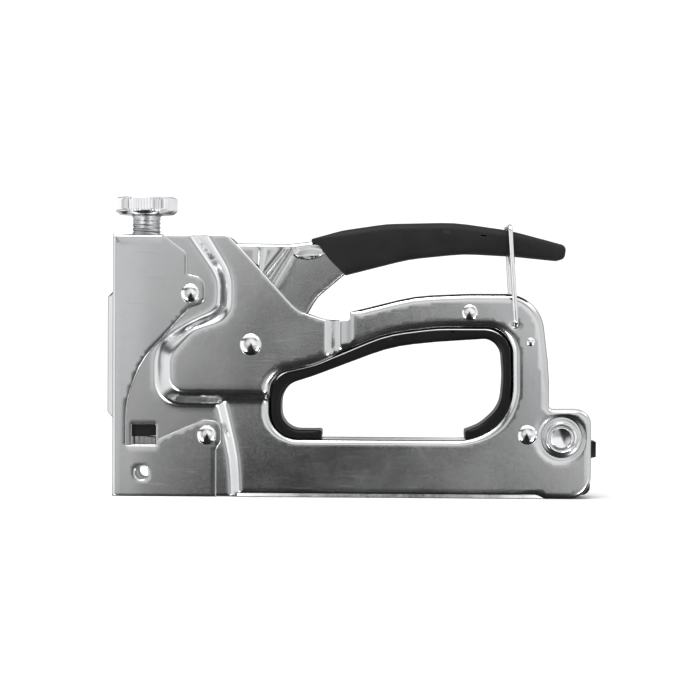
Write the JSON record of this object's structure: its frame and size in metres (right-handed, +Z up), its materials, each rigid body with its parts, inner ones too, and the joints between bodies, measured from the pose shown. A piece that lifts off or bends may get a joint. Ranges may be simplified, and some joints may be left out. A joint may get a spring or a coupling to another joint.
{
  "type": "hand staple gun",
  "caption": "Hand staple gun: pressed-steel body with finger opening, pivoting lever with rubber sleeve, wire lock bail, power screw and a rear-loading magazine.",
  "frame": {"origin": "centre of the overall box to within 0.7 mm, on the plane of the magazine's base", "axes": "+X from the nose to the rear, +Z up through the power screw, Y=0 is the plane where the body halves meet; the left side of the tool faces -Y"},
  "size_m": [0.1763, 0.0274, 0.1076],
  "materials": {
    "plated_shell": "satin nickel plate on pressed steel",
    "chrome": "bright plate",
    "zinc_steel": "zinc plate",
    "spring_steel": "oiled spring wire",
    "hard_steel": "hardened, dark",
    "rubber": "fine grained, matt",
    "black_plastic": "moulded, semi-matt"
  },
  "bodies": {
    "body": {"left_body_shell": "plated_shell", "right_body_shell": "plated_shell", "front_cover": "plated_shell", "front_top_rivet": "chrome", "handle_rivet": "chrome", "rear_rivet": "chrome", "corner_rivet": "chrome", "lever_pivot_rivet": "chrome", "front_lower_rivet_left": "chrome", "front_lower_rivet_right": "chrome", "rear_stud_left": "chrome", "rear_stud_right": "chrome", "screw_nut": "zinc_steel", "magazine_channel": "zinc_steel", "staple_rail": "zinc_steel", "main_spring": "spring_steel", "hammer_stop": "hard_steel", "hammer_buffer": "rubber", "finger_guard": "black_plastic"},
    "lever": {"lever": "plated_shell", "lever_grip": "rubber", "lift_claw": "hard_steel", "claw_spacer_left": "zinc_steel", "claw_spacer_right": "zinc_steel"},
    "hammer": {"hammer": "hard_steel", "drive_blade": "hard_steel"},
    "spring_cap": {"spring_cap": "zinc_steel"},
    "power_knob": {"power_knob": "chrome"},
    "lock_bail": {"lock_bail": "chrome"},
    "pusher_unit": {"pusher_rod": "zinc_steel", "pusher_spring": "spring_steel", "magazine_end_plug": "black_plastic"},
    "pusher": {"pusher": "zinc_steel"}
  },
  "joints": [
    {"name": "lever_squeeze", "type": "hinge", "parent": "body", "child": "lever", "pos_m": [-0.0364, 0, 0.0548], "axis": [0, 1, 0], "range_deg": [0, 8], "stiffness_Nm_per_rad": 2, "springref_deg": -17.19},
    {"name": "hammer_lift", "type": "slide", "parent": "body", "child": "hammer", "axis": [0, 0, 1], "range_m": [0, 0.0047], "deforming": ["main_spring"]},
    {"name": "bail_swing", "type": "hinge", "parent": "body", "child": "lock_bail", "pos_m": [0.0581, 0, 0.0624], "axis": [0, 1, 0], "range_deg": [0, 147]},
    {"name": "screw_travel", "type": "slide", "parent": "body", "child": "spring_cap", "axis": [0, 0, -1], "range_m": [0, 0.003]},
    {"name": "knob_turn", "type": "hinge", "parent": "spring_cap", "child": "power_knob", "pos_m": [-0.075, 0, 0.1], "axis": [0, 0, -1], "range_deg": [0, 720]},
    {"name": "magazine_pull", "type": "slide", "parent": "body", "child": "pusher_unit", "axis": [1, 0, 0], "range_m": [0, 0.15]},
    {"name": "pusher_slide", "type": "slide", "parent": "pusher_unit", "child": "pusher", "axis": [1, 0, 0], "range_m": [0, 0.09], "stiffness_N_per_m": 20, "springref_m": -0.05, "deforming": ["pusher_spring"]}
  ],
  "couplings": [
    {"joint": "hammer_lift", "follows": "lever_squeeze", "m_per_rad": 0.033},
    {"joint": "knob_turn", "follows": "screw_travel", "rad_per_m": 4188}
  ]
}
